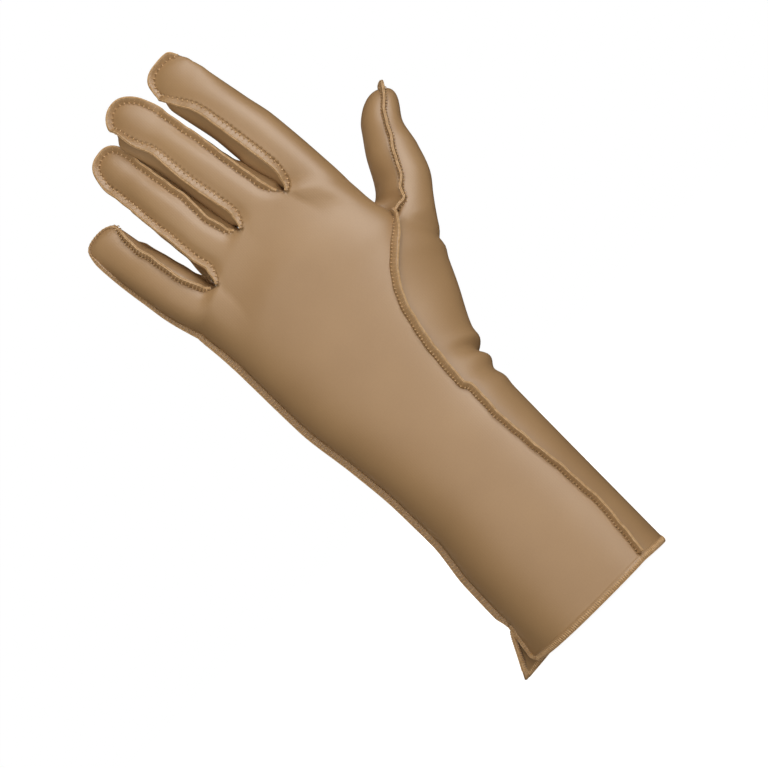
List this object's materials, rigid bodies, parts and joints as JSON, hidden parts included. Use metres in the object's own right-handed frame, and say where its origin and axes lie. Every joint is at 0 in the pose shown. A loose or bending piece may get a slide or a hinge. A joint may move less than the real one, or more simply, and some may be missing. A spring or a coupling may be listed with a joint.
{
  "type": "compression glove",
  "caption": "Full-finger compression glove for the left hand, sewn from stretch fabric panels with raised overlocked seams outside, a long wrist and a small vent slit at the cuff.",
  "frame": {"origin": "centre of the wrist opening, on the cuff's edge plane", "axes": "+Z from the cuff to the fingertips, +X to the thumb side, -Y out of the back of the hand, +Y out of the palm"},
  "size_m": [0.126, 0.0568, 0.2615],
  "materials": {
    "stretch_knit": "matte tan nylon and elastane knit",
    "overlock_thread": "overlocked tan thread"
  },
  "bodies": {
    "root": {"back_panel": "stretch_knit", "palm_panel": "stretch_knit", "thumb_panel": "stretch_knit", "thumb_inner_panel": "stretch_knit", "fourchette_index_middle": "stretch_knit", "fourchette_middle_ring": "stretch_knit", "fourchette_ring_little": "stretch_knit", "index_back_seam": "overlock_thread", "middle_back_seam": "overlock_thread", "ring_back_seam": "overlock_thread", "side_seam": "overlock_thread", "thumb_back_seam": "overlock_thread", "index_palm_seam": "overlock_thread", "middle_palm_seam_inner": "overlock_thread", "middle_palm_seam_outer": "overlock_thread", "ring_palm_seam_inner": "overlock_thread", "ring_palm_seam_outer": "overlock_thread", "little_palm_seam": "overlock_thread", "thumb_palm_seam": "overlock_thread", "cuff_edge": "overlock_thread"}
  },
  "joints": []
}
